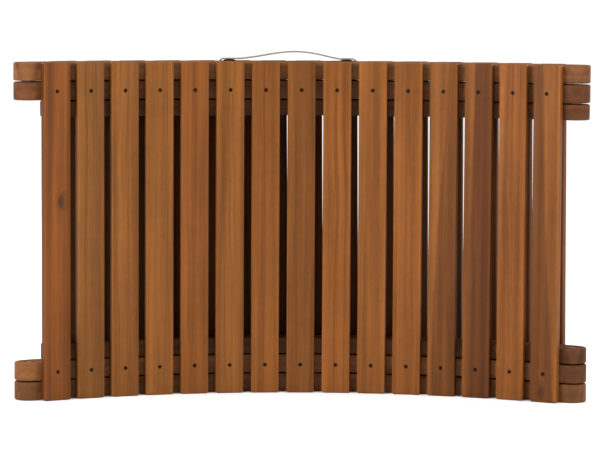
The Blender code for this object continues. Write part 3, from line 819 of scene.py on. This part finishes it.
def build_pivots():
    for end in ("fold", "leg"):
        for side in SIDES:
            for kind in ("bolt", "nut", "washer"):
                node = f"{end}_pivot_{kind}_{side}"
                start, stop = depth_of(node, side)
                if kind == "bolt":
                    mesh, depth = bolt_mesh(stop - start), start
                elif kind == "nut":
                    mesh, depth = nut_mesh(), (start + stop) / 2
                else:
                    mesh, depth = washer_mesh(stop - start), (start + stop) / 2
                angle, distance, _ = polar(node)
                matrix = inward(angle, distance, depth, side)
                add_piece(f"{node}_steel", mesh, STEEL, matrix, "back_panel", "zinc_steel", node)


def build_crossbar_screws():
    screw = screw_mesh()
    for number in range(1, 5):
        node = f"crossbar_screw_{number}"
        side = "lower" if number < 3 else "upper"
        angle, distance, _ = polar(node)
        start, stop = depth_of(node, side)
        stretch = Matrix.Diagonal((1.15, 1.15, (stop - start) / SLAT_SCREW_LENGTH, 1))
        mesh = screw.copy()
        mesh.transform(stretch)
        matrix = inward(angle, distance, start, side)
        add_piece(f"{node}_steel", mesh, SCREW_STEEL, matrix, "back_panel", "zinc_steel", node)


# -------------------------------------------------------------------- strap

STRAP_SPAN = 0.196
STRAP_TAIL = 0.0165
STRAP_WIDTH = 0.025
STRAP_THICKNESS = 0.002
STRAP_EDGE = 0.0009
STRAP_HEIGHT = 0.017
STRAP_PEAK = 0.57
STRAP_ARCH_POWER = 1.3
CUP_RADIUS = 0.0105
CUP_HEIGHT = 0.0025
SEAT_GAP = 0.0003
STRAP_BASE = CUP_HEIGHT + 2 * SEAT_GAP
STRAP_TOP = STRAP_BASE + STRAP_THICKNESS
STRAP_SCREW_RADIUS = 0.002
STRAP_SCREW_HEAD = 0.004


def strap_line(steps=70, tail_steps=8):
    """The strap's centre line from end to end, as (along, up) points."""
    flat = STRAP_BASE + STRAP_THICKNESS / 2
    tip = SEAT_GAP + STRAP_THICKNESS / 2
    rise = STRAP_HEIGHT - STRAP_THICKNESS / 2 - flat
    seat = CUP_RADIUS + SEAT_GAP
    half = STRAP_SPAN / 2
    tail = []
    for i in range(tail_steps + 1):
        part = i / tail_steps
        along = half + STRAP_TAIL - (STRAP_TAIL - seat) * part
        tail.append((along, tip + (flat - tip) * math.sin(part * math.pi / 2) ** 2))
    warp = math.log(0.5) / math.log(STRAP_PEAK)
    run = STRAP_SPAN - 2 * seat
    arch = []
    for i in range(steps + 1):
        part = i / steps
        up = flat + rise * math.sin(math.pi * part ** warp) ** STRAP_ARCH_POWER
        arch.append((seat - half + run * part, up))
    return [(-along, up) for along, up in tail] + arch + tail[::-1]


def strap_mesh():
    """A band swept along the centre line, with soft edges and a woven surface."""
    line = [Vector(point) for point in strap_line()]
    section = rounded_rectangle(STRAP_WIDTH, STRAP_THICKNESS, STRAP_EDGE, 4)
    work = bmesh.new()
    layer = work.verts.layers.float_vector.new("weave")
    loops = []
    travelled = 0.0
    for i, point in enumerate(line):
        if i:
            travelled += (point - line[i - 1]).length
        heading = (line[min(i + 1, len(line) - 1)] - line[max(i - 1, 0)]).normalized()
        normal = Vector((-heading.y, heading.x))
        loop = []
        for across, off in section:
            spot = point + normal * off
            vertex = work.verts.new((spot.x, spot.y, across))
            vertex[layer] = (travelled, across, off)
            loop.append(vertex)
        loops.append(loop)
    for near, far in zip(loops, loops[1:]):
        for i in range(len(near)):
            j = (i + 1) % len(near)
            work.faces.new((near[i], near[j], far[j], far[i]))
    work.faces.new(loops[0])
    work.faces.new(loops[-1])
    return mesh_from(work, 60)


def strap_hole():
    """The bore and countersink of a strap screw, Z down from the strap's top."""
    bore = STRAP_SCREW_RADIUS + HOLE_CLEARANCE
    seat = STRAP_SCREW_HEAD + HOLE_CLEARANCE
    profile = [(0, 0.006), (bore, 0.006), (bore, STRAP_THICKNESS), (seat, 0)]
    profile += [(seat, -CUT_OVERRUN), (0, -CUT_OVERRUN)]
    return turned(profile, 28)


def cup_mesh():
    """A domed washer whose Z runs down from the strap's top."""
    bore = STRAP_SCREW_RADIUS + HOLE_CLEARANCE
    base = STRAP_TOP - SEAT_GAP
    profile = [(bore, base), (CUP_RADIUS, base)]
    for i in range(9):
        turn = math.pi / 2 * i / 8
        radius = bore + 0.001 + (CUP_RADIUS - bore - 0.001) * math.cos(turn)
        profile.append((radius, base - 0.0004 - (CUP_HEIGHT - 0.0004) * math.sin(turn)))
    profile.append((bore, base - CUP_HEIGHT))
    return turned(profile, 40)


def strap_screw_mesh(length):
    """A countersunk screw with a cross recess."""
    radius = STRAP_SCREW_RADIUS
    profile = [(0, length), (radius * 0.4, length - 0.002)]
    for i in range(int((length - 0.007) / SCREW_PITCH)):
        low = length - 0.003 - i * SCREW_PITCH
        profile += [(radius * 0.75, low), (radius, low - SCREW_PITCH / 2)]
    rim = STRAP_SCREW_HEAD
    profile += [(radius, STRAP_THICKNESS), (rim, 0.0002), (rim - 0.0002, 0), (0, 0)]
    return crossed(turned(profile, 28), 0.0048, 0.001, 0.0013, 0.4)


def build_strap():
    low = Vector(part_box("strap_cup_1")[0]) + Vector(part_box("strap_cup_1")[1])
    high = Vector(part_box("strap_cup_2")[0]) + Vector(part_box("strap_cup_2")[1])
    middle = (low + high) / 4
    middle.z = SLAT_LENGTH
    heading = (high - low).normalized()
    turn = Matrix.Rotation(math.atan2(heading.y, heading.x), 4, "Z") @ Matrix.Rotation(math.pi / 2, 4, "X")
    matrix = Matrix.Translation(middle) @ turn
    down = Matrix.Rotation(math.pi / 2, 4, "X")
    spots = [Matrix.Translation((sign * STRAP_SPAN / 2, STRAP_TOP, 0)) @ down for sign in (-1, 1)]
    mesh = carved(strap_mesh(), [(strap_hole(), spot) for spot in spots])
    add_piece("carry_strap_webbing", mesh, WEBBING, matrix, "foot_panel", "strap_webbing", "carry_strap")
    for number, spot in enumerate(spots, start=1):
        cup = f"strap_cup_{number}"
        add_piece(f"{cup}_moulded", cup_mesh(), PLASTIC, matrix @ spot, "foot_panel", "brown_plastic", cup)
        screw = f"strap_screw_{number}"
        screw_low, screw_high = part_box(screw)
        mesh = strap_screw_mesh(screw_high[2] - screw_low[2])
        add_piece(f"{screw}_steel", mesh, SCREW_STEEL, matrix @ spot, "foot_panel", "zinc_steel", screw)


# -------------------------------------------------------------------- stage

WORLD_STRENGTH = 0.13
LEFT_POWER = 102
RIGHT_POWER = 65
BACK_POWER = 38
OVERHEAD_POWER = 3.35
OVERHEAD_SPREAD = math.radians(75)
SOFTBOX_SIZE = (1.0, 1.8)
SOFTBOX_AIM = (0, 0, 0.28)
FLOOR_REACH = 90
FLOOR_DROP = 0.0005


def build_stage():
    """A wide pale floor in a soft dim room."""
    work = bmesh.new()
    bmesh.ops.create_grid(work, x_segments=1, y_segments=1, size=FLOOR_REACH)
    mesh = bpy.data.meshes.new("floor")
    work.to_mesh(mesh)
    work.free()
    floor = bpy.data.objects.new("floor", mesh)
    floor.location.z = -FLOOR_DROP
    bpy.context.scene.collection.objects.link(floor)
    material, tree, shader = new_material("floor_pale")
    where = tree.nodes.new("ShaderNodeTexCoord").outputs["Object"]
    tooth = noise(tree, where, (900, 900, 900), 2.0)
    link(tree, shader.inputs["Base Color"], mix(tree, tooth, rgb(0.90, 0.90, 0.90), rgb(0.93, 0.93, 0.93)))
    shader.inputs["Roughness"].default_value = 0.9
    shader.inputs["Specular IOR Level"].default_value = 0.1
    mesh.materials.append(material)
    world = bpy.data.worlds.new("studio")
    world.use_nodes = True
    world.node_tree.nodes["Background"].inputs["Color"].default_value = rgb(1, 1, 1)
    world.node_tree.nodes["Background"].inputs["Strength"].default_value = WORLD_STRENGTH
    bpy.context.scene.world = world


def add_softbox(name, spot, power):
    """A soft rectangular light aimed at the object, which the camera doesn't see."""
    light = bpy.data.lights.new(name, "AREA")
    light.shape = "RECTANGLE"
    light.size, light.size_y = SOFTBOX_SIZE
    light.energy = power
    item = bpy.data.objects.new(name, light)
    item.location = spot
    item.rotation_euler = (Vector(SOFTBOX_AIM) - Vector(spot)).to_track_quat("-Z", "Y").to_euler()
    item.visible_camera = False
    bpy.context.scene.collection.objects.link(item)


def build_lights():
    add_softbox("left_softbox", (-2.6, -2.6, 1.7), LEFT_POWER)
    add_softbox("right_softbox", (3.0, -2.0, 1.7), RIGHT_POWER)
    for name, side in (("back_left_fill", -1), ("back_right_fill", 1)):
        add_softbox(name, (side * 2.6, 2.8, 1.7), BACK_POWER)
    overhead = bpy.data.lights.new("overhead", "SUN")
    overhead.energy = OVERHEAD_POWER
    overhead.angle = OVERHEAD_SPREAD
    bpy.context.scene.collection.objects.link(bpy.data.objects.new("overhead", overhead))


def build_camera():
    camera = bpy.data.cameras.new("camera")
    camera.lens = CAMERA_LENS
    camera.sensor_width = 36
    item = bpy.data.objects.new("camera", camera)
    level = math.cos(CAMERA_ELEVATION)
    look = Vector((math.sin(CAMERA_AZIMUTH), math.cos(CAMERA_AZIMUTH), 0)) * level
    look.z = -math.sin(CAMERA_ELEVATION)
    turn = look.to_track_quat("-Z", "Y").to_matrix().to_4x4() @ Matrix.Rotation(CAMERA_ROLL, 4, "Z")
    item.matrix_world = Matrix.Translation(CAMERA_TARGET - look * CAMERA_DISTANCE) @ turn
    bpy.context.scene.collection.objects.link(item)
    bpy.context.scene.camera = item
    bpy.context.scene.view_settings.view_transform = "Standard"


build_slats("back", BACK_SCREW_HEIGHT, True, BACK_LOOKS, BACK_KNOTS, BACK_HEARTS)
build_slats("foot", FOOT_SCREW_HEIGHT, False, FOOT_LOOKS, {}, {})
build_slat_screws("back", BACK_SCREW_HEIGHT, True)
build_slat_screws("foot", FOOT_SCREW_HEIGHT, False)
build_rails()
build_crossbar()
build_pivots()
build_crossbar_screws()
build_strap()
build_stage()
build_lights()
build_camera()
